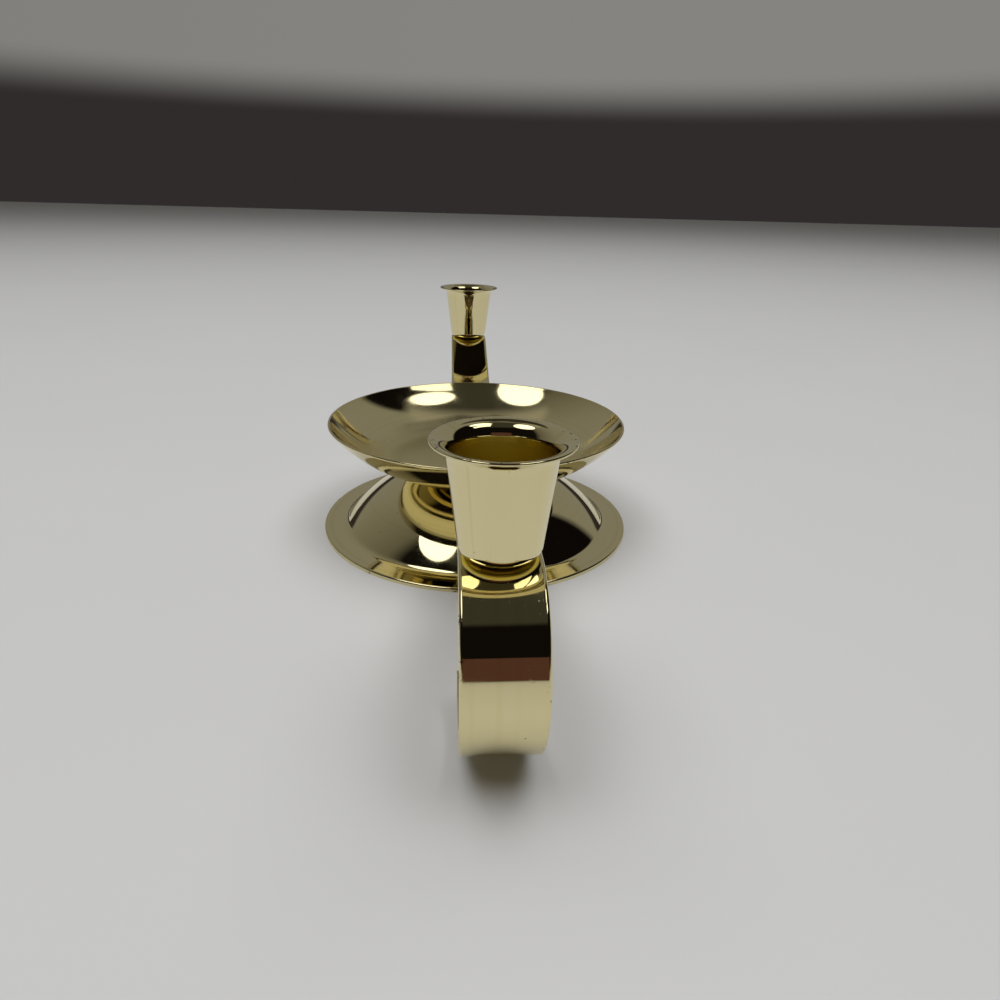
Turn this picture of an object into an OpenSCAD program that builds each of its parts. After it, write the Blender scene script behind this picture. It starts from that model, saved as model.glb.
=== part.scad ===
// Low candle holder: a domed base, a shallow dish and one strip of flat bar whose two ends curl over.
// A flared candle cup stands on each curl. The arms lie along X and the base stands on Z = 0.

/* [Base] */
// Outer diameter of the brim
base_d = 127; // [122:1:160]
// Height of the flat top that the arm bar lies on
base_top_z = 25; // [21:0.5:28]
// Radius of the flat top
base_seat_r = 16; // [13:0.5:20]
// Radius at which the dome would meet the brim without its cove
dome_foot_r = 54.5; // [48:0.5:56]
// Radius of the cove between dome and brim
cove_r = 4; // [2:0.5:6]
// Height of the brim's upper face
brim_z = 1.6; // [1.3:0.1:3]
// Width of the turned-down edge that touches the table
brim_lip_w = 1.4; // [1:0.1:3]
// Sheet thickness of the base
base_sheet = 1; // [0.6:0.1:1.2]

/* [Dish] */
// Outer diameter of the dish
dish_d = 119; // [100:1:130]
// Height from the underside of the floor to the rim
dish_depth = 17; // [13:0.5:22]
// Radius of the bowl's curve, on the underside
bowl_r = 52; // [42:1:60]
// Height of the flat floor above the lowest point that the bowl's curve would reach
floor_lift = 3; // [1:0.5:5]
// Radius of the corner between floor and bowl, on the underside
floor_corner_r = 20; // [8:1:25]
// Sheet thickness of the dish
dish_sheet = 1; // [0.6:0.1:1.6]

/* [Arm bar] */
// Distance between the axes of the two cups
cup_spacing = 270; // [230:1:310]
// Width of the strip
strip_w = 19.4; // [14:0.1:24]
// Thickness of the strip
strip_t = 2; // [1.4:0.1:2.6]
// Height of the flat seat under each cup
crest_z = 53.5; // [50:0.5:62]
// Outer radius of the curl
curl_r = 24.6; // [18:0.1:25]
// Angle that the curl turns through, from the seat to its free end
curl_sweep = 220; // [180:1:235]
// Length of the short flat seat under each cup
seat_l = 3; // [2:0.5:12]
// Length of the flat middle of the strip
hub_l = 80; // [76:1:92]
// Bend radius where the strip leaves the flat middle, at mid thickness
bend_r = 20; // [10:1:30]

/* [Candle cups] */
// Diameter over the flared rim
cup_rim_d = 32; // [30:0.5:38]
// Height of a cup
cup_h = 27.3; // [22:0.1:34]
// Underside radius of the flared rim
flare_r = 3.3; // [2.5:0.1:4.5]
// Slope of the cup's wall from the vertical
cup_taper = 6.8; // [3:0.1:9]
// Outer radius of the corner between wall and floor
cup_corner_r = 3; // [1.5:0.1:4]
// Sheet thickness of a cup
cup_sheet = 0.8; // [0.5:0.1:1]

/* [Fasteners] */
// Thread diameter of the centre screw
centre_screw_d = 5; // [4:1:6]
// Thread diameter of a cup's screw
cup_screw_d = 4; // [3:1:4]
// Radial clearance of a screw in the holes that turn on it
turn_gap = 0.08; // [0.02:0.01:0.1]
// Radial clearance of a screw in its nut and washers
thread_gap = 0.05; // [0.02:0.01:0.1]
// Clearance between the edge of a cup's washer and the strip's curved underside
washer_gap = 0.02; // [0.01:0.01:0.1]
// Length of the screw that stands out below its nut
screw_end_l = 1.2; // [0.5:0.1:3]

/* [Hidden] */
// Segments of a full turn
$fn = 96;
// Angle between neighbouring points of an arc in an outline
arc_step = 5;
// The same for the strip's small round ends
edge_step = 30;
// Oversize of a cutting tool past the face that it cuts
cut_over = 1;
// Reach of a screw's shank into its head, which makes them one solid
shank_reach = 0.3;

// Proportions of the fasteners, as multiples of the thread diameter
head_d_ratio = 1.9;
head_h_ratio = 0.5;
washer_d_ratio = 2;
washer_t_ratio = 0.2;
lock_d_ratio = 1.7;
lock_t_ratio = 0.25;
nut_af_ratio = 1.7;
nut_h_ratio = 0.8;
recess_w_ratio = 0.22;
recess_l_ratio = 0.95;
recess_depth_ratio = 0.3;
split_w_ratio = 0.15;
// Lean of the split in a spring washer, in degrees
split_lean = 30;

// Dome: a sphere through the foot radius and the edge of the flat top
dome_centre_z = (pow(dome_foot_r, 2) - pow(base_seat_r, 2) + pow(brim_z, 2) - pow(base_top_z, 2))
    / (2 * (brim_z - base_top_z));
dome_r = norm([base_seat_r, base_top_z - dome_centre_z]);
// Cove: tangent to the brim's upper face and to the dome
cove_z = brim_z + cove_r;
cove_centre_r = sqrt(pow(dome_r + cove_r, 2) - pow(cove_z - dome_centre_z, 2));
dome_start = atan2(cove_z - dome_centre_z, cove_centre_r);
dome_end = atan2(base_top_z - dome_centre_z, base_seat_r);
base_seat_under_z = base_top_z - base_sheet;
dome_under_end = asin((base_seat_under_z - dome_centre_z) / (dome_r - base_sheet));

// Dish: its floor lies on the strip, and a corner joins the floor to the bowl's curve
dish_z = base_top_z + strip_t;
dish_floor_z = dish_z + dish_sheet;
bowl_z = dish_z - floor_lift + bowl_r;
bowl_end = asin((dish_z + dish_depth - bowl_z) / bowl_r);
rim_edge_r = dish_sheet / 2;
bowl_centre_r = dish_d / 2 - rim_edge_r - (bowl_r - rim_edge_r) * cos(bowl_end);
floor_corner_z = dish_z + floor_corner_r;
corner_drop = bowl_z - floor_corner_z;
corner_out = sqrt(pow(bowl_r - floor_corner_r, 2) - pow(corner_drop, 2));
floor_corner_end = -atan2(corner_drop, corner_out);

// Strip: the path of its mid thickness, with one S-bend between the flat middle and the seat
cup_x = cup_spacing / 2;
hub_mid_z = base_top_z + strip_t / 2;
crest_mid_z = crest_z - strip_t / 2;
curl_mid_r = curl_r - strip_t / 2;
rise_x = cup_x - seat_l / 2 - hub_l / 2;
rise_z = crest_mid_z - hub_mid_z;
bends_r = bend_r + curl_mid_r;
leg_angle = asin(bends_r / norm([rise_x, rise_z - bends_r])) + atan2(rise_z - bends_r, rise_x);
curl_z = crest_mid_z - curl_mid_r;

// Cup: the wall is tangent to the corner below and to the flare above
cup_floor_z = crest_z + cup_sheet;
cup_top_z = crest_z + cup_h;
flare_centre = [cup_rim_d / 2 - cup_sheet / 2, cup_top_z - cup_sheet - flare_r];
wall_top = flare_centre + flare_r * [-cos(cup_taper), sin(cup_taper)];
corner_z = crest_z + cup_corner_r;
wall_foot_z = corner_z - cup_corner_r * sin(cup_taper);
wall_foot_r = wall_top[0] - (wall_top[1] - wall_foot_z) * tan(cup_taper);
corner_centre = [wall_foot_r - cup_corner_r * cos(cup_taper), corner_z];

// Fastener stacks hang from the underside of the sheet that they clamp
seat_under_z = crest_z - strip_t;
// A cup's washer is wider than the flat seat, so its edge lies on the curve beside the seat
curl_under_r = curl_r - strip_t;
washer_past_seat = max(0, (washer_d_ratio * cup_screw_d - seat_l) / 2);
washer_sag = curl_under_r - sqrt(pow(curl_under_r, 2) - pow(washer_past_seat, 2));
clamp_z = seat_under_z - washer_sag - washer_gap;

gold = "#cdb67e";
steel = "#b9bbbd";

// Points of an arc about a centre, from one angle to another
function arc(centre, r, from, to, step = arc_step) =
    let (steps = max(2, ceil(abs(to - from) / step)))
    [for (i = [0:steps])
        let (angle = from + (to - from) * i / steps)
        centre + r * [cos(angle), sin(angle)]];

// An outline mirrored in the Y axis, with its points in reverse order
function mirrored(outline) = [for (i = [len(outline) - 1:-1:0]) [-outline[i][0], outline[i][1]]];

// Heights of a fastener stack below the face that it clamps: washer, spring washer, nut, screw end
function lock_drop(d) = washer_t_ratio * d;
function nut_drop(d) = lock_drop(d) + lock_t_ratio * d;
function end_drop(d) = nut_drop(d) + nut_h_ratio * d + screw_end_l;

// Spun sheet base: brim, cove, dome and flat top with the screw's hole
module base_foot() {
    hole_r = centre_screw_d / 2 + thread_gap;
    edge_r = brim_z / 2;
    outside = concat(
        [[base_d / 2, 0]],
        arc([base_d / 2 - edge_r, brim_z - edge_r], edge_r, 0, 90),
        arc([cove_centre_r, cove_z], cove_r, -90, dome_start - 180),
        arc([0, dome_centre_z], dome_r, dome_start, dome_end),
        [[hole_r, base_top_z]]);
    inside = concat(
        [[hole_r, base_seat_under_z]],
        arc([0, dome_centre_z], dome_r - base_sheet, dome_under_end, dome_start),
        arc([cove_centre_r, cove_z], cove_r + base_sheet, dome_start - 180, -90),
        [[base_d / 2 - brim_lip_w, brim_z - base_sheet], [base_d / 2 - brim_lip_w, 0]]);
    color(gold)
        rotate_extrude()
            polygon(concat(outside, inside));
}

// Spun sheet dish: flat floor, curved wall and rounded edge
module dish() {
    hole_r = centre_screw_d / 2 + turn_gap;
    bowl_centre = [bowl_centre_r, bowl_z];
    floor_corner = [bowl_centre_r + corner_out, floor_corner_z];
    edge_centre = bowl_centre + (bowl_r - rim_edge_r) * [cos(bowl_end), sin(bowl_end)];
    outline = concat(
        [[hole_r, dish_z]],
        arc(floor_corner, floor_corner_r, -90, floor_corner_end),
        arc(bowl_centre, bowl_r, floor_corner_end, bowl_end),
        arc(edge_centre, rim_edge_r, bowl_end, bowl_end + 180),
        arc(bowl_centre, bowl_r - dish_sheet, bowl_end, floor_corner_end),
        arc(floor_corner, floor_corner_r - dish_sheet, floor_corner_end, -90),
        [[hole_r, dish_floor_z]]);
    color(gold)
        rotate_extrude()
            polygon(outline);
}

// Strip of flat bar that makes both arms: its side outline, given the strip's width
module arm_bar() {
    bend_centre = [hub_l / 2, hub_mid_z + bend_r];
    crest_centre = [cup_x - seat_l / 2, curl_z];
    curl_centre = [cup_x + seat_l / 2, curl_z];
    tail_angle = 90 - curl_sweep;
    tail_mid = curl_centre + curl_mid_r * [cos(tail_angle), sin(tail_angle)];
    arm_end = concat(
        arc(bend_centre, bend_r - strip_t / 2, -90, leg_angle - 90),
        arc(crest_centre, curl_r, 90 + leg_angle, 90),
        arc(curl_centre, curl_r, 90, tail_angle),
        arc(tail_mid, strip_t / 2, tail_angle, tail_angle - 180, edge_step),
        arc(curl_centre, curl_under_r, tail_angle, 90),
        arc(crest_centre, curl_under_r, 90, 90 + leg_angle),
        arc(bend_centre, bend_r + strip_t / 2, leg_angle - 90, -90));
    color(gold)
        difference() {
            rotate([90, 0, 0])
                linear_extrude(strip_w, center = true)
                    polygon(concat(arm_end, mirrored(arm_end)));
            translate([0, 0, base_top_z - cut_over])
                cylinder(r = centre_screw_d / 2 + turn_gap, h = strip_t + 2 * cut_over);
            for (side = [-1, 1])
                translate([side * cup_x, 0, seat_under_z - cut_over])
                    cylinder(r = cup_screw_d / 2 + thread_gap, h = strip_t + 2 * cut_over);
        }
}

// Drawn sheet cup about the Z axis
module candle_cup() {
    hole_r = cup_screw_d / 2 + turn_gap;
    rim_centre = flare_centre + [0, flare_r + cup_sheet / 2];
    outline = concat(
        [[hole_r, crest_z]],
        arc(corner_centre, cup_corner_r, -90, -cup_taper),
        arc(flare_centre, flare_r, 180 - cup_taper, 90),
        arc(rim_centre, cup_sheet / 2, -90, 90),
        arc(flare_centre, flare_r + cup_sheet, 90, 180 - cup_taper),
        arc(corner_centre, cup_corner_r - cup_sheet, -cup_taper, -90),
        [[hole_r, cup_floor_z]]);
    color(gold)
        rotate_extrude()
            polygon(outline);
}

// Pan-head screw with its head's underside on a seat, reaching down to a given height
module pan_screw(d, seat_z, end_z) {
    head_r = head_d_ratio * d / 2;
    head_h = head_h_ratio * d;
    recess_depth = recess_depth_ratio * d;
    recess = [recess_l_ratio * d, recess_w_ratio * d, recess_depth + cut_over];
    crown_r = (pow(head_r, 2) + pow(head_h / 2, 2)) / head_h;
    crown = arc([0, head_h - crown_r], crown_r, asin((crown_r - head_h / 2) / crown_r), 90);
    color(gold)
        difference() {
            union() {
                translate([0, 0, seat_z])
                    rotate_extrude()
                        polygon(concat([[0, 0], [head_r, 0]], crown));
                translate([0, 0, end_z])
                    cylinder(d = d, h = seat_z - end_z + shank_reach);
            }
            for (turn = [0, 90])
                translate([0, 0, seat_z + head_h + (cut_over - recess_depth) / 2])
                    rotate([0, 0, turn])
                        cube(recess, center = true);
        }
}

// Plain washer with its upper face at a given height
module plain_washer(d, top_z) {
    thickness = washer_t_ratio * d;
    color(steel)
        translate([0, 0, top_z - thickness])
            difference() {
                cylinder(d = washer_d_ratio * d, h = thickness);
                translate([0, 0, -cut_over])
                    cylinder(r = d / 2 + thread_gap, h = thickness + 2 * cut_over);
            }
}

// Split spring washer, closed flat, with its upper face at a given height
module lock_washer(d, top_z) {
    thickness = lock_t_ratio * d;
    split_l = lock_d_ratio * d;
    color(steel)
        translate([0, 0, top_z - thickness])
            difference() {
                cylinder(d = lock_d_ratio * d, h = thickness);
                translate([0, 0, -cut_over])
                    cylinder(r = d / 2 + thread_gap, h = thickness + 2 * cut_over);
                translate([split_l / 2, 0, thickness / 2])
                    rotate([split_lean, 0, 0])
                        cube([split_l, split_w_ratio * d, 2 * thickness + 2 * cut_over], center = true);
            }
}

// Hexagon nut with its upper face at a given height and its corners turned off
module hex_nut(d, top_z) {
    across_flats = nut_af_ratio * d;
    across_corners = across_flats / cos(30);
    height = nut_h_ratio * d;
    bevel = (across_corners - across_flats) / 2;
    corner_r = across_corners / 2;
    flat_r = across_flats / 2;
    bevel_h = bevel * tan(30);
    color(steel)
        translate([0, 0, top_z - height])
            difference() {
                intersection() {
                    cylinder(d = across_corners, h = height, $fn = 6);
                    rotate_extrude()
                        polygon([[0, 0], [flat_r, 0], [corner_r, bevel_h], [corner_r, height - bevel_h],
                            [flat_r, height], [0, height]]);
                }
                translate([0, 0, -cut_over])
                    cylinder(r = d / 2 + thread_gap, h = height + 2 * cut_over);
            }
}

// Centre stack: the screw's head lies in the dish, and the rest hangs under the dome's top
module centre_screw() {
    pan_screw(centre_screw_d, dish_floor_z, base_seat_under_z - end_drop(centre_screw_d));
}

module centre_washer() {
    plain_washer(centre_screw_d, base_seat_under_z);
}

module centre_lock_washer() {
    lock_washer(centre_screw_d, base_seat_under_z - lock_drop(centre_screw_d));
}

module centre_nut() {
    hex_nut(centre_screw_d, base_seat_under_z - nut_drop(centre_screw_d));
}

// The same pieces on each arm: side is 1 for the front arm and -1 for the rear one
module on_arm(side) {
    translate([side * cup_x, 0, 0])
        rotate([0, 0, side > 0 ? 0 : 180])
            children();
}

module cup(side) {
    on_arm(side)
        candle_cup();
}

module cup_screw(side) {
    on_arm(side)
        pan_screw(cup_screw_d, cup_floor_z, clamp_z - end_drop(cup_screw_d));
}

module cup_washer(side) {
    on_arm(side)
        plain_washer(cup_screw_d, clamp_z);
}

module cup_lock_washer(side) {
    on_arm(side)
        lock_washer(cup_screw_d, clamp_z - lock_drop(cup_screw_d));
}

module cup_nut(side) {
    on_arm(side)
        hex_nut(cup_screw_d, clamp_z - nut_drop(cup_screw_d));
}

base_foot();
arm_bar();
dish();
centre_screw();
centre_washer();
centre_lock_washer();
centre_nut();
cup(1);  // front_cup
cup_screw(1);  // front_cup_screw
cup_washer(1);  // front_cup_washer
cup_lock_washer(1);  // front_cup_lock_washer
cup_nut(1);  // front_cup_nut
cup(-1);  // rear_cup
cup_screw(-1);  // rear_cup_screw
cup_washer(-1);  // rear_cup_washer
cup_lock_washer(-1);  // rear_cup_lock_washer
cup_nut(-1);  // rear_cup_nut
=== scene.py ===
import math

import bpy
from mathutils import Matrix, Vector


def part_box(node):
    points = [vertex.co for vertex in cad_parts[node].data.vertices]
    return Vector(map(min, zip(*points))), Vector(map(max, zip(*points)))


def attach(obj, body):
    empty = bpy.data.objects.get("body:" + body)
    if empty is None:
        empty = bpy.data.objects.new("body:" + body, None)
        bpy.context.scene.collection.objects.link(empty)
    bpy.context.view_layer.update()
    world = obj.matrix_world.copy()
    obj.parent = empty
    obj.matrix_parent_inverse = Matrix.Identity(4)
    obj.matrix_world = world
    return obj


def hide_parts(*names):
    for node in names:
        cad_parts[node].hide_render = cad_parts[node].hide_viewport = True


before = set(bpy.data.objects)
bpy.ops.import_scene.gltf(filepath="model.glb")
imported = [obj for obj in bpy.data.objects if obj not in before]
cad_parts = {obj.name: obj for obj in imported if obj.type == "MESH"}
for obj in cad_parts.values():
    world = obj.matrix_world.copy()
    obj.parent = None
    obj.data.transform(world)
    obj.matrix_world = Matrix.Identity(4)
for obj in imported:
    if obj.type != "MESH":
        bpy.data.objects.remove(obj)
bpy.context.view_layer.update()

MM = 0.001

# Fineness of the arcs and the turned faces
ARC_STEP = 3.0
FINE_STEP = 1.5
EDGE_STEP = 15.0
TURN_STEPS = 144
SCREW_TURN_STEPS = 48
HOLE_SIDES = 48
BEND_STEPS = 12
CURL_STEPS = 110
LONG_EDGE_STEPS = 6
TAIL_EDGE_STEPS = 3
CREASE_ANGLE = math.radians(32)
DOUBLES = 1e-6

# Base, a spun dome with a cove and a flat brim
base_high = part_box("base_foot")[1]
BASE_R = base_high.x
BASE_TOP = base_high.z
BASE_SEAT_R = 16.0 * MM
DOME_FOOT_R = 54.5 * MM
COVE_R = 4.0 * MM
BRIM_Z = 1.6 * MM
BRIM_EDGE_R = 0.8 * MM
BRIM_LIP = 1.4 * MM
BASE_SHEET = 1.0 * MM
BASE_HOLE_R = 2.55 * MM

# Dish, a spun bowl with a flat floor
dish_low, dish_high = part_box("dish")
DISH_Z = dish_low.z
DISH_R = dish_high.x
DISH_DEPTH = 17.0 * MM
BOWL_R = 52.0 * MM
FLOOR_LIFT = 3.0 * MM
FLOOR_CORNER_R = 20.0 * MM
DISH_SHEET = 1.0 * MM
TURN_HOLE_R = 2.58 * MM

# Arm bar, one strip with a curl at each end
bar_low, bar_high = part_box("arm_bar")
STRIP_W = bar_high.y - bar_low.y
STRIP_T = 2.0 * MM
STRIP_EDGE_R = 0.9 * MM
CREST_Z = bar_high.z
CURL_R = 24.6 * MM
CURL_SWEEP = math.radians(220)
SEAT_L = 3.0 * MM
HUB_L = 80.0 * MM
BEND_R = 20.0 * MM
TAIL_EDGE_R = 0.5 * MM

# Candle cups, drawn from sheet
cup_low, cup_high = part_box("front_cup")
CUP_X = (cup_low.x + cup_high.x) / 2
CUP_TOP = cup_high.z
CUP_RIM_R = (cup_high.x - cup_low.x) / 2
FLARE_R = 3.3 * MM
CUP_TAPER = 6.8
CUP_CORNER_R = 3.0 * MM
CUP_SHEET = 0.8 * MM
CUP_HOLE_R = 2.08 * MM

# Screws, in shares of their thread size
CENTRE_SCREW_D = 5.0 * MM
CUP_SCREW_D = 4.0 * MM
HEAD_R_SHARE = 0.95
HEAD_H_SHARE = 0.5
RECESS_W_SHARE = 0.22
RECESS_L_SHARE = 0.95
RECESS_DEPTH_SHARE = 0.3
THREAD_PITCH_SHARE = 0.16
THREAD_ROOT_SHARE = 0.42


# Modelling helpers

def deselect():
    """Leaves nothing selected, so that an operator only acts on its own piece."""
    if bpy.context.object and bpy.context.object.mode != "OBJECT":
        bpy.ops.object.mode_set(mode="OBJECT")
    bpy.ops.object.select_all(action="DESELECT")


def edit(piece):
    """Opens a piece in edit mode with all its vertices selected."""
    bpy.context.view_layer.objects.active = piece
    piece.select_set(True)
    bpy.ops.object.mode_set(mode="EDIT")
    bpy.ops.mesh.select_mode(type="VERT")
    bpy.ops.mesh.select_all(action="SELECT")


def pick_vertices(piece, test):
    """Selects the vertices of the piece being edited that pass a test on their index and place."""
    bpy.ops.mesh.select_all(action="DESELECT")
    bpy.ops.object.mode_set(mode="OBJECT")
    for vertex in piece.data.vertices:
        vertex.select = test(vertex.index, vertex.co)
    bpy.ops.object.mode_set(mode="EDIT")


def finish_mesh(piece):
    """Merges doubles, turns the faces outwards and smooths all but the sharp edges."""
    edit(piece)
    bpy.ops.mesh.remove_doubles(threshold=DOUBLES)
    bpy.ops.mesh.normals_make_consistent(inside=False)
    bpy.ops.object.mode_set(mode="OBJECT")
    bpy.ops.object.shade_smooth_by_angle(angle=CREASE_ANGLE)


def apply_modifier(piece, kind, **settings):
    modifier = piece.modifiers.new(kind.lower(), kind)
    for key, value in settings.items():
        setattr(modifier, key, value)
    bpy.context.view_layer.objects.active = piece
    bpy.ops.object.modifier_apply(modifier=modifier.name)


def level_flats(piece):
    """Keeps the shading of a flat face flat beside its rounded edges."""
    apply_modifier(piece, "WEIGHTED_NORMAL", mode="FACE_AREA", keep_sharp=True)


def cut_away(piece, cutter):
    """Takes the cutter's shape out of the piece and removes the cutter."""
    apply_modifier(piece, "BOOLEAN", object=cutter, operation="DIFFERENCE", solver="EXACT")
    bpy.data.objects.remove(cutter)


def drill(piece, place, radius, depth):
    """Drills an upright round hole through a piece."""
    deselect()
    bpy.ops.mesh.primitive_cylinder_add(vertices=HOLE_SIDES, radius=radius, depth=depth, location=place)
    cut_away(piece, bpy.context.object)


def arc(centre, radius, start, end, step=ARC_STEP):
    """Points of an arc in a section drawing, with its angles in degrees."""
    count = max(2, math.ceil(abs(end - start) / step))
    angles = [math.radians(start + (end - start) * i / count) for i in range(count + 1)]
    return [(centre[0] + radius * math.cos(a), centre[1] + radius * math.sin(a)) for a in angles]


def turn_on_lathe(name, outline, axis_x=0.0, steps=TURN_STEPS):
    """Draws a closed section of radius and height, and spins it about an upright axis."""
    deselect()
    first_r, first_z = outline[0]
    bpy.ops.mesh.primitive_plane_add(size=MM, location=(axis_x + first_r, 0, first_z))
    piece = bpy.context.object
    piece.name = piece.data.name = name
    bpy.ops.object.transform_apply(location=True, rotation=True, scale=True)
    edit(piece)
    bpy.ops.mesh.merge(type="CENTER")
    for (r, z), (next_r, next_z) in zip(outline, outline[1:]):
        bpy.ops.mesh.extrude_region_move(TRANSFORM_OT_translate={"value": (next_r - r, 0, next_z - z)})
    last = len(outline) - 1
    pick_vertices(piece, lambda index, place: index in (0, last))
    bpy.ops.mesh.edge_face_add()
    bpy.ops.mesh.select_all(action="SELECT")
    bpy.ops.mesh.spin(steps=steps, angle=math.tau, center=(axis_x, 0, 0), axis=(0, 0, 1))
    finish_mesh(piece)
    return piece


def copy_along(piece, name, shift_x):
    """A second piece like the first, with a mesh of its own, moved along the bar."""
    deselect()
    piece.select_set(True)
    bpy.context.view_layer.objects.active = piece
    bpy.ops.object.duplicate(linked=False)
    twin = bpy.context.object
    twin.name = twin.data.name = name
    bpy.ops.transform.translate(value=(shift_x, 0, 0))
    bpy.ops.object.transform_apply(location=True, rotation=True, scale=True)
    return twin


# Pieces

def spin_base():
    """Brim, cove, dome and flat top of the base, with the inside of the sheet."""
    dome_z = (DOME_FOOT_R**2 - BASE_SEAT_R**2 + BRIM_Z**2 - BASE_TOP**2) / (2 * (BRIM_Z - BASE_TOP))
    dome_r = math.hypot(BASE_SEAT_R, BASE_TOP - dome_z)
    cove_z = BRIM_Z + COVE_R
    cove = (math.sqrt((dome_r + COVE_R)**2 - (cove_z - dome_z)**2), cove_z)
    dome = (0.0, dome_z)
    dome_start = math.degrees(math.atan2(cove_z - dome_z, cove[0]))
    dome_end = math.degrees(math.atan2(BASE_TOP - dome_z, BASE_SEAT_R))
    under_end = math.degrees(math.asin((BASE_TOP - BASE_SHEET - dome_z) / (dome_r - BASE_SHEET)))
    lip_r = BASE_R - BRIM_LIP
    outline = (
        [(BASE_R, 0.0)]
        + arc((BASE_R - BRIM_EDGE_R, BRIM_Z - BRIM_EDGE_R), BRIM_EDGE_R, 0, 90, EDGE_STEP)
        + arc(cove, COVE_R, -90, dome_start - 180)
        + arc(dome, dome_r, dome_start, dome_end, FINE_STEP)[1:]
        + [(BASE_HOLE_R, BASE_TOP), (BASE_HOLE_R, BASE_TOP - BASE_SHEET)]
        + arc(dome, dome_r - BASE_SHEET, under_end, dome_start, FINE_STEP)
        + arc(cove, COVE_R + BASE_SHEET, dome_start - 180, -90)[1:]
        + [(lip_r, BRIM_Z - BASE_SHEET), (lip_r, 0.0)])
    return turn_on_lathe("base_spun_dome", outline)


def spin_dish():
    """Flat floor, corner, bowl and rounded rim of the dish."""
    rim_r = DISH_SHEET / 2
    bowl_z = DISH_Z - FLOOR_LIFT + BOWL_R
    bowl_end = math.degrees(math.asin((DISH_Z + DISH_DEPTH - bowl_z) / BOWL_R))
    bowl = (DISH_R - rim_r - (BOWL_R - rim_r) * math.cos(math.radians(bowl_end)), bowl_z)
    rim = arc(bowl, BOWL_R - rim_r, bowl_end, bowl_end)[0]
    corner_drop = bowl_z - DISH_Z - FLOOR_CORNER_R
    corner_out = math.sqrt((BOWL_R - FLOOR_CORNER_R)**2 - corner_drop**2)
    corner = (bowl[0] + corner_out, DISH_Z + FLOOR_CORNER_R)
    corner_end = -math.degrees(math.atan2(corner_drop, corner_out))
    outline = (
        [(TURN_HOLE_R, DISH_Z)]
        + arc(corner, FLOOR_CORNER_R, -90, corner_end, FINE_STEP)
        + arc(bowl, BOWL_R, corner_end, bowl_end, FINE_STEP)[1:]
        + arc(rim, rim_r, bowl_end, bowl_end + 180, EDGE_STEP)[1:]
        + arc(bowl, BOWL_R - DISH_SHEET, bowl_end, corner_end, FINE_STEP)[1:]
        + arc(corner, FLOOR_CORNER_R - DISH_SHEET, corner_end, -90, FINE_STEP)[1:]
        + [(TURN_HOLE_R, DISH_Z + DISH_SHEET)])
    return turn_on_lathe("dish_spun_bowl", outline)


def draw_cup():
    """Floor, rounded corner, tapered wall and flared rim of a candle cup."""
    taper = math.radians(CUP_TAPER)
    flare = (CUP_RIM_R - CUP_SHEET / 2, CUP_TOP - CUP_SHEET - FLARE_R)
    wall_top = (flare[0] - FLARE_R * math.cos(taper), flare[1] + FLARE_R * math.sin(taper))
    corner_z = CREST_Z + CUP_CORNER_R
    wall_foot_z = corner_z - CUP_CORNER_R * math.sin(taper)
    wall_foot_r = wall_top[0] - (wall_top[1] - wall_foot_z) * math.tan(taper)
    corner = (wall_foot_r - CUP_CORNER_R * math.cos(taper), corner_z)
    rim = (flare[0], flare[1] + FLARE_R + CUP_SHEET / 2)
    outline = (
        [(CUP_HOLE_R, CREST_Z)]
        + arc(corner, CUP_CORNER_R, -90, -CUP_TAPER, EDGE_STEP / 2)
        + arc(flare, FLARE_R, 180 - CUP_TAPER, 90, ARC_STEP)
        + arc(rim, CUP_SHEET / 2, -90, 90, EDGE_STEP)[1:]
        + arc(flare, FLARE_R + CUP_SHEET, 90, 180 - CUP_TAPER, ARC_STEP)[1:]
        + arc(corner, CUP_CORNER_R - CUP_SHEET, -CUP_TAPER, -90, EDGE_STEP / 2)
        + [(CUP_HOLE_R, CREST_Z + CUP_SHEET)])
    return turn_on_lathe("front_cup_drawn", outline, CUP_X)


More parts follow.
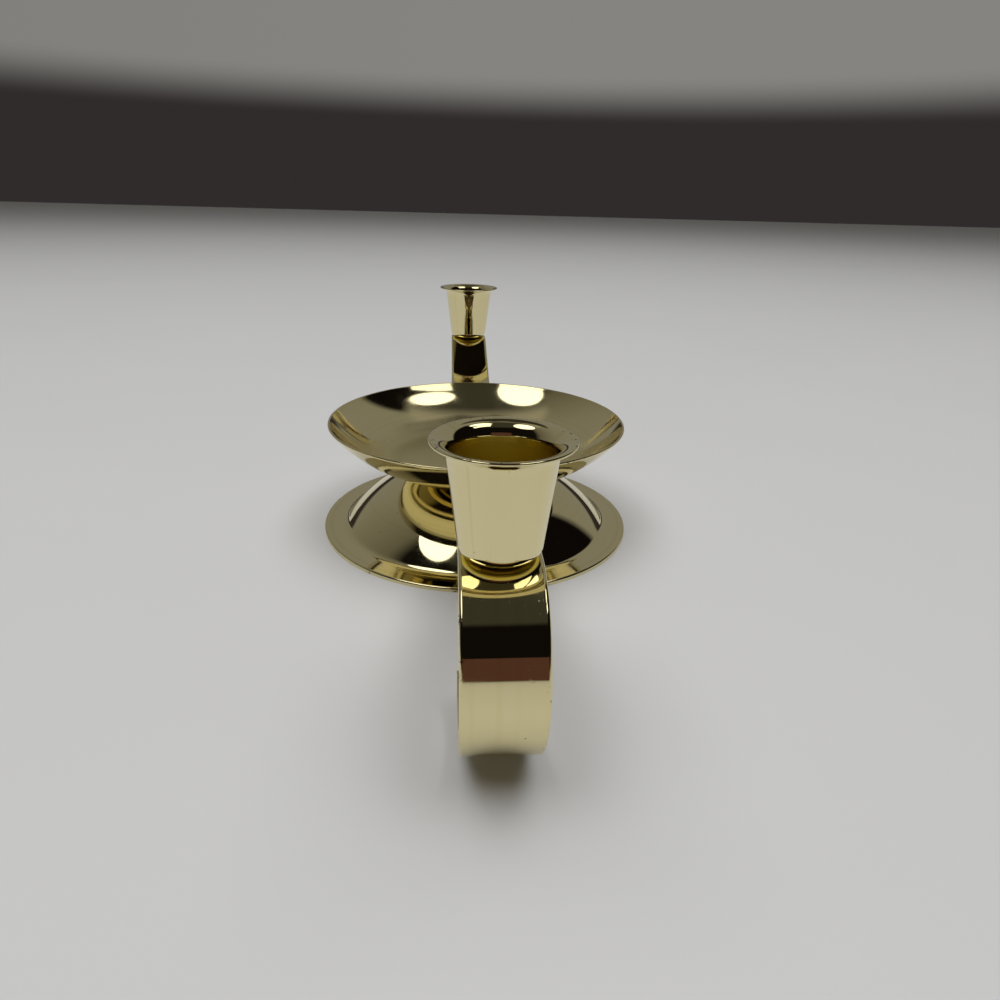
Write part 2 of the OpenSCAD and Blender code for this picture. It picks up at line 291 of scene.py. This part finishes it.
def bend_bar():
    """One strip with round edges: half is extruded and bent, and the other half mirrors it."""
    deselect()
    half_t = STRIP_T / 2
    hub_z = DISH_Z - half_t
    crest_z = CREST_Z - half_t
    curl_r = CURL_R - half_t
    curl_z = crest_z - curl_r
    rise_x = CUP_X - SEAT_L / 2 - HUB_L / 2
    rise_z = crest_z - hub_z
    bends_r = BEND_R + curl_r
    slant = math.hypot(rise_x, rise_z - bends_r)
    leg_angle = math.asin(bends_r / slant) + math.atan2(rise_z - bends_r, rise_x)
    leg_l = math.sqrt(rise_x**2 + rise_z**2 - 2 * bends_r * rise_z)
    leg = (leg_l * math.cos(leg_angle), 0, leg_l * math.sin(leg_angle))
    bpy.ops.mesh.primitive_plane_add(size=1, location=(0, 0, hub_z), rotation=(0, math.pi / 2, 0))
    strip = bpy.context.object
    strip.name = strip.data.name = "arm_bar_strip"
    strip.scale = (STRIP_T, STRIP_W, 1)
    bpy.ops.object.transform_apply(location=True, rotation=True, scale=True)
    edit(strip)
    bpy.ops.mesh.bevel(affect="VERTICES", offset=STRIP_EDGE_R, segments=LONG_EDGE_STEPS)
    bpy.ops.mesh.extrude_region_move(TRANSFORM_OT_translate={"value": (HUB_L / 2, 0, 0)})
    rise = (HUB_L / 2, 0, hub_z + BEND_R)
    bpy.ops.mesh.spin(steps=BEND_STEPS, angle=leg_angle, center=rise, axis=(0, 1, 0))
    bpy.ops.mesh.extrude_region_move(TRANSFORM_OT_translate={"value": leg})
    crest = (CUP_X - SEAT_L / 2, 0, curl_z)
    bpy.ops.mesh.spin(steps=BEND_STEPS, angle=leg_angle, center=crest, axis=(0, -1, 0))
    bpy.ops.mesh.extrude_region_move(TRANSFORM_OT_translate={"value": (SEAT_L, 0, 0)})
    curl = (CUP_X + SEAT_L / 2, 0, curl_z)
    bpy.ops.mesh.spin(steps=CURL_STEPS, angle=CURL_SWEEP, center=curl, axis=(0, -1, 0))
    bpy.ops.mesh.bevel(affect="EDGES", offset=TAIL_EDGE_R, segments=TAIL_EDGE_STEPS)
    pick_vertices(strip, lambda index, place: abs(place.x) < DOUBLES)
    bpy.ops.mesh.delete(type="ONLY_FACE")
    bpy.ops.object.mode_set(mode="OBJECT")
    apply_modifier(strip, "MIRROR", use_axis=(True, False, False), merge_threshold=DOUBLES)
    finish_mesh(strip)
    through = 3 * STRIP_T
    drill(strip, (0, 0, hub_z), TURN_HOLE_R, through)
    drill(strip, (CUP_X, 0, crest_z), CUP_HOLE_R, through)
    drill(strip, (-CUP_X, 0, crest_z), CUP_HOLE_R, through)
    return strip


def make_screw(node, d):
    """Pan-head screw with a cross recess and a thread, in the place of a screw of the frame."""
    low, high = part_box(node)
    axis_x = (low.x + high.x) / 2
    head_r = HEAD_R_SHARE * d
    head_h = HEAD_H_SHARE * d
    seat_z = high.z - head_h
    crown_r = (head_r**2 + (head_h / 2)**2) / head_h
    crown_start = math.degrees(math.asin((crown_r - head_h / 2) / crown_r))
    pitch = THREAD_PITCH_SHARE * d
    threads = int((seat_z - low.z) / pitch)
    root_r = THREAD_ROOT_SHARE * d
    thread = []
    for turn in range(threads):
        thread += [(root_r, low.z + turn * pitch), (d / 2, low.z + (turn + 0.5) * pitch)]
    outline = (
        [(0.0, low.z)] + thread + [(root_r, seat_z), (head_r, seat_z)]
        + arc((0.0, high.z - crown_r), crown_r, crown_start, 90))
    screw = turn_on_lathe(node + "_turned", outline, axis_x, SCREW_TURN_STEPS)
    recess_depth = RECESS_DEPTH_SHARE * d
    for length, width in ((RECESS_L_SHARE, RECESS_W_SHARE), (RECESS_W_SHARE, RECESS_L_SHARE)):
        deselect()
        bpy.ops.mesh.primitive_cube_add(size=1, location=(axis_x, 0, high.z))
        slot = bpy.context.object
        slot.scale = (length * d, width * d, 2 * recess_depth)
        bpy.ops.object.transform_apply(location=True, rotation=True, scale=True)
        cut_away(screw, slot)
    deselect()
    finish_mesh(screw)
    return screw


# Materials

BRASS_PALE = (0.82, 0.73, 0.42, 1.0)
BRASS_DEEP = (0.74, 0.63, 0.32, 1.0)
# Deeper gold inside the cups: a painted reflection of light bouncing between the gold walls
BRASS_INSIDE_PAINTED_REFLECTION = (0.84, 0.69, 0.15, 1.0)
TARNISH = (0.16, 0.10, 0.05, 1.0)
SCREW_PALE = (0.80, 0.68, 0.38, 1.0)
SCREW_DEEP = (0.66, 0.52, 0.26, 1.0)
ZINC_PALE = (0.66, 0.67, 0.68, 1.0)
ZINC_DEEP = (0.44, 0.46, 0.48, 1.0)

# Finish of the mirror brass
POLISH_HAZE = (0.025, 0.075)
DISH_HAZE = (0.07, 0.12)
INSIDE_ROUGHNESS = 0.30
DULLED_ROUGHNESS = 0.26
HAIRLINE_ROUGHNESS = 0.03
FLAW_ROUGHNESS = 0.35
SCUFFS_FEW = 0.10
SCUFFS_MANY = 0.18
PIT_SIZE = 0.06
WEAR_W = 0.6 * MM
STRIP_WEAR_W = 1.5 * MM
CUP_WEAR_W = 0.3 * MM
STREAK_SHARE = 0.5
WAVE_DEPTH = 0.02 * MM
LINE_DEPTH = 0.0006 * MM
RING_DEPTH = 0.003 * MM
SCREW_HAZE = (0.14, 0.28)
ZINC_HAZE = (0.26, 0.42)

# Lower part of the dish that is dulled, and the ring where it turns bright again
DISH_DULL_R = 40.0 * MM
DISH_BRIGHT_R = 47.0 * MM


def add_node(tree, kind, values=None, **settings):
    """Adds a node with its settings, and fills or links its inputs."""
    node = tree.nodes.new("ShaderNode" + kind)
    for key, value in settings.items():
        setattr(node, key, value)
    for key, value in (values or {}).items():
        if isinstance(value, bpy.types.NodeSocket):
            tree.links.new(value, node.inputs[key])
        else:
            node.inputs[key].default_value = value
    return node


def math_node(tree, operation, first, second=0.0):
    return add_node(tree, "Math", {0: first, 1: second}, operation=operation).outputs[0]


def add_share(tree, value, share, base):
    """A share of a value on top of a base value."""
    return add_node(tree, "Math", {0: value, 1: share, 2: base}, operation="MULTIPLY_ADD").outputs[0]


def stretch(tree, vector, factors):
    return add_node(tree, "VectorMath", {0: vector, 1: factors}, operation="MULTIPLY").outputs[0]


def fade(tree, value, start, end, low=0.0, high=1.0):
    """A smooth step of a value from start to end."""
    limits = {"Value": value, "From Min": start, "From Max": end, "To Min": low, "To Max": high}
    return add_node(tree, "MapRange", limits, interpolation_type="SMOOTHSTEP").outputs["Result"]


def mix_colour(tree, factor, first, second):
    mix = add_node(tree, "Mix", data_type="RGBA")
    for socket, value in ((mix.inputs[0], factor), (mix.inputs[6], first), (mix.inputs[7], second)):
        if isinstance(value, bpy.types.NodeSocket):
            tree.links.new(value, socket)
        else:
            socket.default_value = value
    return mix.outputs[2]


def new_group(name, inputs, outputs):
    """An empty shader group with named sockets, and its two end nodes."""
    group = bpy.data.node_groups.new(name, "ShaderNodeTree")
    for label, kind in inputs.items():
        group.interface.new_socket(label, in_out="INPUT", socket_type="NodeSocket" + kind)
    for label in outputs:
        group.interface.new_socket(label, in_out="OUTPUT", socket_type="NodeSocketFloat")
    return group, group.nodes.new("NodeGroupInput"), group.nodes.new("NodeGroupOutput")


def build_pits():
    """Small dark pits in the plating, thinly scattered."""
    tree, inlet, outlet = new_group("plating_pits", {"Vector": "Vector", "Size": "Float"}, ["Mask"])
    cells = add_node(tree, "TexVoronoi", {"Vector": inlet.outputs["Vector"], "Scale": 230.0})
    chosen = fade(tree, add_node(tree, "SeparateColor", {0: cells.outputs["Color"]}).outputs[0], 0.5, 0.55)
    inner = math_node(tree, "MULTIPLY", inlet.outputs["Size"], 0.6)
    spot = fade(tree, cells.outputs["Distance"], inlet.outputs["Size"], inner)
    tree.links.new(math_node(tree, "MULTIPLY", spot, chosen), outlet.inputs["Mask"])
    return tree


def build_smudges():
    """Cloudy marks of handling, and faint fine hairlines from wiping."""
    tree, inlet, outlet = new_group("handling_marks", {"Vector": "Vector"}, ["Cloud", "Hairlines"])
    cloud = add_node(tree, "TexNoise", {
        "Vector": inlet.outputs["Vector"], "Scale": 48.0, "Detail": 5.0,
        "Roughness": 0.6, "Distortion": 0.6})
    tree.links.new(fade(tree, cloud.outputs[0], 0.42, 0.72), outlet.inputs["Cloud"])
    turned = add_node(tree, "Mapping", {
        "Vector": inlet.outputs["Vector"], "Rotation": (0.4, 0.7, 0.5), "Scale": (60.0, 2200.0, 900.0)})
    hairs = add_node(tree, "TexNoise", {"Vector": turned.outputs[0], "Scale": 1.0, "Detail": 2.0})
    tree.links.new(fade(tree, hairs.outputs[0], 0.62, 0.72), outlet.inputs["Hairlines"])
    return tree


def build_waviness():
    """The slow waves that forming leaves in polished sheet."""
    tree, inlet, outlet = new_group("sheet_waves", {"Vector": "Vector"}, ["Height"])
    waves = add_node(tree, "TexNoise", {"Vector": inlet.outputs["Vector"], "Scale": 60.0, "Detail": 1.5})
    tree.links.new(waves.outputs[0], outlet.inputs["Height"])
    return tree


def build_lines():
    """Fine lines of the forming tool, on a vector that is stretched along them."""
    tree, inlet, outlet = new_group("forming_lines", {"Vector": "Vector"}, ["Height", "Streak"])
    fine = add_node(tree, "TexNoise", {"Vector": inlet.outputs["Vector"], "Scale": 1.0, "Detail": 3.0})
    broad = add_node(tree, "TexNoise", {"Vector": inlet.outputs["Vector"], "Scale": 0.22, "Detail": 1.0})
    tree.links.new(fine.outputs[0], outlet.inputs["Height"])
    tree.links.new(fade(tree, broad.outputs[0], 0.5, 0.75), outlet.inputs["Streak"])
    return tree


def build_edge_wear():
    """Specks rubbed through along an edge, by the distance from it."""
    tree, inlet, outlet = new_group(
        "rubbed_edge", {"Vector": "Vector", "Distance": "Float", "Width": "Float"}, ["Mask"])
    near = fade(tree, inlet.outputs["Distance"], inlet.outputs["Width"], 0.0)
    specks = add_node(tree, "TexNoise", {"Vector": inlet.outputs["Vector"], "Scale": 900.0, "Detail": 2.0})
    patches = add_node(tree, "TexNoise", {"Vector": inlet.outputs["Vector"], "Scale": 70.0, "Detail": 1.0})
    rubbed = fade(tree, specks.outputs[0], 0.6, 0.68)
    gathered = fade(tree, patches.outputs[0], 0.45, 0.6)
    worn = math_node(tree, "MULTIPLY", rubbed, gathered)
    tree.links.new(math_node(tree, "MULTIPLY", near, worn), outlet.inputs["Mask"])
    return tree


def build_scuffs():
    """Short dull grazes, gathered in patches."""
    tree, inlet, outlet = new_group("fine_scuffs", {"Vector": "Vector"}, ["Mask"])
    specks = add_node(tree, "TexNoise", {"Vector": inlet.outputs["Vector"], "Scale": 1300.0, "Detail": 2.0})
    patches = add_node(tree, "TexNoise", {"Vector": inlet.outputs["Vector"], "Scale": 110.0, "Detail": 2.0})
    grazed = fade(tree, specks.outputs[0], 0.64, 0.72)
    gathered = fade(tree, patches.outputs[0], 0.48, 0.62)
    tree.links.new(math_node(tree, "MULTIPLY", grazed, gathered), outlet.inputs["Mask"])
    return tree


PITS = build_pits()
SCUFFS = build_scuffs()
SMUDGES = build_smudges()
WAVINESS = build_waviness()
LINES = build_lines()
EDGE_WEAR = build_edge_wear()


def new_material(name, centre_x=0.0):
    """A material with its shader, and its place on the piece measured from the piece's axis."""
    material = bpy.data.materials.new(name)
    material.use_nodes = True
    tree = material.node_tree
    place = add_node(tree, "Mapping", {
        "Vector": add_node(tree, "TexCoord").outputs["Object"], "Location": (-centre_x, 0, 0)})
    return material, tree, tree.nodes["Principled BSDF"], place.outputs[0]


def radius_of(tree, place):
    flat = stretch(tree, place, (1, 1, 0))
    return add_node(tree, "VectorMath", {0: flat}, operation="LENGTH").outputs["Value"]


def height_of(tree, place):
    return add_node(tree, "SeparateXYZ", {0: place}).outputs["Z"]


def ring_lines(tree, place):
    """Turned rings: the pattern only changes with radius and height."""
    across = add_node(tree, "CombineXYZ", {"X": radius_of(tree, place), "Z": height_of(tree, place)})
    return stretch(tree, across.outputs[0], (1700, 1, 1700))


def upright_lines(tree, place):
    """Drawn lines up a round wall: the pattern mostly changes round the axis."""
    flat = stretch(tree, place, (1, 1, 0))
    round_axis = add_node(tree, "VectorMath", {0: flat}, operation="NORMALIZE")
    spread = stretch(tree, round_axis.outputs[0], (26, 26, 0))
    rise = stretch(tree, place, (0, 0, 60))
    return add_node(tree, "VectorMath", {0: spread, 1: rise}, operation="ADD").outputs[0]


def lengthwise_lines(tree, place):
    """Rolled lines along the strip: the pattern mostly changes across its width."""
    return stretch(tree, place, (20, 1600, 20))


def nowhere(tree, place):
    return 0.0


def cup_inside_dull_and_painted(tree, place):
    """A mask of the inside of a cup, below its flare: the sheet there is left as drawn and duller, and its
    colour is a painted reflection, a deeper gold for light bouncing between the walls.
    """
    flare_z = CUP_TOP - CUP_SHEET - FLARE_R
    throat_r = CUP_RIM_R - CUP_SHEET - FLARE_R
    slope = math.tan(math.radians(CUP_TAPER))
    height = height_of(tree, place)
    drop = math_node(tree, "SUBTRACT", flare_z, height)
    wall_r = math_node(tree, "SUBTRACT", throat_r, math_node(tree, "MULTIPLY", drop, slope))
    within = math_node(tree, "SUBTRACT", wall_r, radius_of(tree, place))
    below = fade(tree, height, flare_z + 0.2 * MM, flare_z - 1.2 * MM)
    return math_node(tree, "MULTIPLY", fade(tree, within, 0.0, 0.2 * MM), below)


def dish_floor(tree, place):
    """A mask of the lower part of the dish's upper side, which candles and cleaning have dulled."""
    facing = add_node(tree, "TexCoord").outputs["Normal"]
    upper = fade(tree, height_of(tree, facing), 0.0, 0.2)
    lower_part = fade(tree, radius_of(tree, place), DISH_BRIGHT_R, DISH_DULL_R)
    return math_node(tree, "MULTIPLY", lower_part, upper)


def use_group(tree, group, place, **values):
    return add_node(tree, "Group", {"Vector": place, **values}, node_tree=group).outputs


def flaws_of(tree, place, distance, width):
    """Pits anywhere, and specks rubbed through near the edge."""
    pits = use_group(tree, PITS, place, Size=PIT_SIZE)
    worn = use_group(tree, EDGE_WEAR, place, Distance=distance, Width=width)
    return math_node(tree, "MAXIMUM", pits["Mask"], worn["Mask"])


def mirror_brass(name, lines, edge_distance, centre_x=0.0, edge_width=WEAR_W,
                 scuffs=SCUFFS_FEW, haze=POLISH_HAZE, inside=nowhere, dulled=nowhere):
    """Polished brass with forming lines, slow waves, handling marks, scuffs, pits and rubbed edges."""
    material, tree, shader, place = new_material(name, centre_x)
    forming = use_group(tree, LINES, lines(tree, place))
    flaws = flaws_of(tree, place, edge_distance(tree, place), edge_width)
    within = inside(tree, place)

    depth = math_node(tree, "MULTIPLY", forming["Streak"], STREAK_SHARE)
    colour = mix_colour(tree, depth, BRASS_PALE, BRASS_DEEP)
    # Inside the cups the colour turns a deeper gold: painted reflection of light bouncing between the walls
    colour = mix_colour(tree, within, colour, BRASS_INSIDE_PAINTED_REFLECTION)
    colour = mix_colour(tree, flaws, colour, TARNISH)
    tree.links.new(colour, shader.inputs["Base Color"])

    marks = use_group(tree, SMUDGES, place)
    rough = fade(tree, marks["Cloud"], 0.0, 1.0, *haze)
    rough = add_share(tree, marks["Hairlines"], HAIRLINE_ROUGHNESS, rough)
    rough = add_share(tree, use_group(tree, SCUFFS, place)["Mask"], scuffs, rough)
    rough = add_share(tree, within, INSIDE_ROUGHNESS, rough)
    rough = add_share(tree, dulled(tree, place), DULLED_ROUGHNESS, rough)
    rough = add_share(tree, flaws, FLAW_ROUGHNESS, rough)
    tree.links.new(rough, shader.inputs["Roughness"])

    waves = use_group(tree, WAVINESS, place)
    slow = add_node(tree, "Bump", {"Height": waves["Height"], "Distance": WAVE_DEPTH})
    fine = add_node(tree, "Bump", {
        "Height": forming["Height"], "Distance": LINE_DEPTH, "Normal": slow.outputs[0]})
    tree.links.new(fine.outputs[0], shader.inputs["Normal"])
    shader.inputs["Metallic"].default_value = 1.0
    return material


def screw_brass(name, centre_x=0.0):
    """Turned brass with rings on the head, duller than the mirror pieces."""
    material, tree, shader, place = new_material(name, centre_x)
    forming = use_group(tree, LINES, ring_lines(tree, place))
    marks = use_group(tree, SMUDGES, place)
    colour = mix_colour(tree, forming["Streak"], SCREW_PALE, SCREW_DEEP)
    tree.links.new(colour, shader.inputs["Base Color"])
    rough = fade(tree, marks["Cloud"], 0.0, 1.0, *SCREW_HAZE)
    tree.links.new(rough, shader.inputs["Roughness"])
    fine = add_node(tree, "Bump", {"Height": forming["Height"], "Distance": RING_DEPTH})
    tree.links.new(fine.outputs[0], shader.inputs["Normal"])
    shader.inputs["Metallic"].default_value = 1.0
    return material


def zinc_plate(name):
    """Zinc plate with a soft spangle, for the nuts and washers."""
    material, tree, shader, place = new_material(name)
    marks = use_group(tree, SMUDGES, place)
    spangle = add_node(tree, "TexVoronoi", {"Vector": place, "Scale": 900.0})
    grain = add_node(tree, "SeparateColor", {0: spangle.outputs["Color"]}).outputs[0]
    colour = mix_colour(tree, grain, ZINC_PALE, ZINC_DEEP)
    tree.links.new(colour, shader.inputs["Base Color"])
    rough = fade(tree, marks["Cloud"], 0.0, 1.0, *ZINC_HAZE)
    tree.links.new(rough, shader.inputs["Roughness"])
    shader.inputs["Metallic"].default_value = 1.0
    return material


def base_edge(tree, place):
    return math_node(tree, "SUBTRACT", BASE_R, radius_of(tree, place))


def dish_edge(tree, place):
    return math_node(tree, "SUBTRACT", DISH_R, radius_of(tree, place))


def cup_edge(tree, place):
    return math_node(tree, "SUBTRACT", CUP_TOP, height_of(tree, place))


def strip_edge(tree, place):
    across = math_node(tree, "ABSOLUTE", add_node(tree, "SeparateXYZ", {0: place}).outputs["Y"])
    return math_node(tree, "SUBTRACT", STRIP_W / 2, across)


# Assembly

def fit(piece, body, node, material):
    """Puts a piece in the place of a node of the frame, with its finish."""
    level_flats(piece)
    piece.data.materials.clear()
    piece.data.materials.append(material)
    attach(piece, body)
    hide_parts(node)


def fit_cup(cup, axis_x, drawn, turned):
    """Puts a candle cup and its screw in place, each with its finish."""
    brass = mirror_brass(
        cup + "_brass", upright_lines, cup_edge, axis_x, edge_width=CUP_WEAR_W, inside=cup_inside_dull_and_painted)
    fit(drawn, cup, cup, brass)
    screw = cup + "_screw"
    fit(turned, "arms", screw, screw_brass(screw + "_brass", axis_x))


base_brass = mirror_brass("base_brass", ring_lines, base_edge)
fit(spin_base(), "base", "base_foot", base_brass)
dish_brass = mirror_brass("dish_brass", ring_lines, dish_edge, haze=DISH_HAZE, dulled=dish_floor)
fit(spin_dish(), "dish", "dish", dish_brass)
strip_brass = mirror_brass(
    "strip_brass", lengthwise_lines, strip_edge, edge_width=STRIP_WEAR_W, scuffs=SCUFFS_MANY)
fit(bend_bar(), "arms", "arm_bar", strip_brass)

front_drawn = draw_cup()
front_turned = make_screw("front_cup_screw", CUP_SCREW_D)
rear_drawn = copy_along(front_drawn, "rear_cup_drawn", -2 * CUP_X)
rear_turned = copy_along(front_turned, "rear_cup_screw_turned", -2 * CUP_X)
fit_cup("front_cup", CUP_X, front_drawn, front_turned)
fit_cup("rear_cup", -CUP_X, rear_drawn, rear_turned)
centre_turned = make_screw("centre_screw", CENTRE_SCREW_D)
fit(centre_turned, "base", "centre_screw", screw_brass("centre_screw_brass"))

zinc = zinc_plate("zinc_plate")
for holder in ("centre", "front_cup", "rear_cup"):
    for fastener in ("washer", "lock_washer", "nut"):
        steel_piece = bpy.data.objects[holder + "_" + fastener]
        for material_slot in steel_piece.material_slots:
            material_slot.material = zinc


# Floor and light

FLOOR_SIZE = 12.0
FLOOR_PALE = (0.64, 0.64, 0.64, 1.0)
FLOOR_GREY = (0.61, 0.61, 0.61, 1.0)
FLOOR_ROUGHNESS = 0.55

# Shape, middle, size, turn in degrees and height of each lamp, and how bright its face is
PANELS = {
    "panel_left": ("ELLIPSE", (0.37, -0.84), (1.12, 0.94), 0, 1.8, 1.9),
    "panel_right": ("ELLIPSE", (0.10, 0.74), (0.46, 0.92), 36, 1.8, 1.9),
    "panel_right_front": ("RECTANGLE", (0.54, 0.90), (0.34, 0.90), 20, 1.8, 1.7)}
FILL = ("RECTANGLE", (0.0, 0.0), (3.0, 3.0), 0, 2.6, 2.25)

# Tones of the walls by the angle from the camera's side, from left round to right
WALLS = (
    (-180, (0.235, 0.230, 0.215)), (-140, (0.215, 0.210, 0.195)), (-112, (0.165, 0.158, 0.140)),
    (-92, (0.120, 0.115, 0.100)), (-78, (0.006, 0.005, 0.005)), (118, (0.004, 0.003, 0.003)),
    (124, (0.235, 0.230, 0.215)), (180, (0.235, 0.230, 0.215)))
HORIZON = (0.29, 0.285, 0.27, 1.0)
BACKDROP = (0.030, 0.025, 0.025, 1.0)
SCREEN = (0.085, 0.038, 0.030, 1.0)
CEILING_NEAR = (0.042, 0.041, 0.034, 1.0)
CEILING_FAR = (0.30, 0.29, 0.27, 1.0)
CEILING_BAY = (0.036, 0.033, 0.028, 1.0)

# Angles in degrees over which one part of the room fades into the next
BACKDROP_SIDES = (105, 118)
HORIZON_TOP = (8, 5)
SCREEN_SIDES = (24, 20)
SCREEN_TOP = (23.5, 22.5)
CEILING_FOOT = (54, 60)
BAY_SIDES = (140, 150)
BAY_FOOT = (47, 51)
BAY_HEAD = (80, 75)

# Share of the way to the far wall over which the ceiling turns pale
CEILING_TURN = (0.0, -0.3)


def lay_floor():
    deselect()
    bpy.ops.mesh.primitive_plane_add(size=FLOOR_SIZE, location=(0, 0, 0))
    floor = bpy.context.object
    floor.name = floor.data.name = "floor"
    paint, tree, shader, place = new_material("floor_paint")
    mottle = add_node(tree, "TexNoise", {"Vector": place, "Scale": 6.0, "Detail": 3.0})
    tree.links.new(mix_colour(tree, mottle.outputs[0], FLOOR_PALE, FLOOR_GREY), shader.inputs["Base Color"])
    shader.inputs["Roughness"].default_value = FLOOR_ROUGHNESS
    floor.data.materials.append(paint)


def hang_lamp(name, shape, place, size, turn, height, brightness):
    """A soft lamp that shines straight down, turned by some degrees."""
    lamp = bpy.data.lights.new(name, "AREA")
    lamp.shape = shape
    lamp.size, lamp.size_y = size
    face = size[0] * size[1] * (math.pi / 4 if shape == "ELLIPSE" else 1.0)
    lamp.energy = brightness * math.pi * face
    hung = bpy.data.objects.new(name, lamp)
    hung.location = (*place, height)
    hung.rotation_euler = (0, 0, math.radians(turn))
    bpy.context.scene.collection.objects.link(hung)
    return hung


def room_ramp(tree, turn, tones):
    """Colours round the room, placed by their angle in degrees."""
    share = add_node(tree, "MapRange", {"Value": turn, "From Min": -math.pi, "From Max": math.pi})
    ramp = add_node(tree, "ValToRGB", {0: share.outputs["Result"]})
    stops = ramp.color_ramp.elements
    while len(stops) < len(tones):
        stops.new(1.0)
    for stop, (angle, tone) in zip(stops, tones):
        stop.position = (angle + 180) / 360
        stop.color = (*tone, 1.0)
    return ramp.outputs[0]


def fade_angle(tree, angle, limits):
    """A smooth step of an angle between two limits in degrees."""
    return fade(tree, angle, math.radians(limits[0]), math.radians(limits[1]))


def light_room():
    """A plain room: pale on the far side and low down, dim behind the camera and overhead."""
    world = bpy.data.worlds.new("room")
    bpy.context.scene.world = world
    world.use_nodes = True
    tree = world.node_tree
    way = add_node(tree, "SeparateXYZ", {0: add_node(tree, "TexCoord").outputs["Generated"]})
    turn = math_node(tree, "ARCTAN2", way.outputs["Y"], way.outputs["X"])
    rise = math_node(tree, "ARCSINE", way.outputs["Z"])
    aside = math_node(tree, "ABSOLUTE", turn)
    tone = room_ramp(tree, turn, WALLS)
    horizon = mix_colour(tree, fade_angle(tree, aside, BACKDROP_SIDES), HORIZON, BACKDROP)
    tone = mix_colour(tree, fade_angle(tree, rise, HORIZON_TOP), tone, horizon)
    ahead = fade_angle(tree, aside, SCREEN_SIDES)
    low = fade_angle(tree, rise, SCREEN_TOP)
    tone = mix_colour(tree, math_node(tree, "MULTIPLY", ahead, low), tone, SCREEN)
    paler = fade(tree, way.outputs["X"], *CEILING_TURN)
    overhead = mix_colour(tree, paler, CEILING_NEAR, CEILING_FAR)
    tone = mix_colour(tree, fade_angle(tree, rise, CEILING_FOOT), tone, overhead)
    behind = fade_angle(tree, aside, BAY_SIDES)
    bay = math_node(tree, "MULTIPLY", fade_angle(tree, rise, BAY_FOOT), fade_angle(tree, rise, BAY_HEAD))
    tone = mix_colour(tree, math_node(tree, "MULTIPLY", behind, bay), tone, CEILING_BAY)
    tree.links.new(tone, tree.nodes["Background"].inputs["Color"])


lay_floor()
for panel_name, panel in PANELS.items():
    hang_lamp(panel_name, *panel)
hang_lamp("fill", *FILL).visible_glossy = False
light_room()


# Camera of the photograph: its place, its turn and its field of view

CAMERA_AT = Vector((276.4, -11.6, 127.4)) * MM
PITCH_DOWN = math.radians(23.27)
YAW = math.radians(4.54)
ROLL = math.radians(-1.62)
SENSOR = 36.0
FOCAL_SHARE = 0.70217
NEAREST_SEEN = 0.01


def set_camera():
    level = math.cos(PITCH_DOWN)
    forward = Vector((-math.cos(YAW) * level, math.sin(YAW) * level, -math.sin(PITCH_DOWN)))
    level_right = Vector((math.sin(YAW), math.cos(YAW), 0))
    level_up = level_right.cross(forward)
    right = level_right * math.cos(ROLL) - level_up * math.sin(ROLL)
    up = level_right * math.sin(ROLL) + level_up * math.cos(ROLL)
    data = bpy.data.cameras.new("photo_camera")
    data.sensor_width = SENSOR
    data.lens = SENSOR * FOCAL_SHARE
    data.clip_start = NEAREST_SEEN
    camera = bpy.data.objects.new("photo_camera", data)
    turn = Matrix((right, up, -forward)).transposed()
    camera.matrix_world = Matrix.Translation(CAMERA_AT) @ turn.to_4x4()
    bpy.context.scene.collection.objects.link(camera)
    bpy.context.scene.camera = camera


set_camera()
bpy.context.scene.view_settings.view_transform = "Standard"
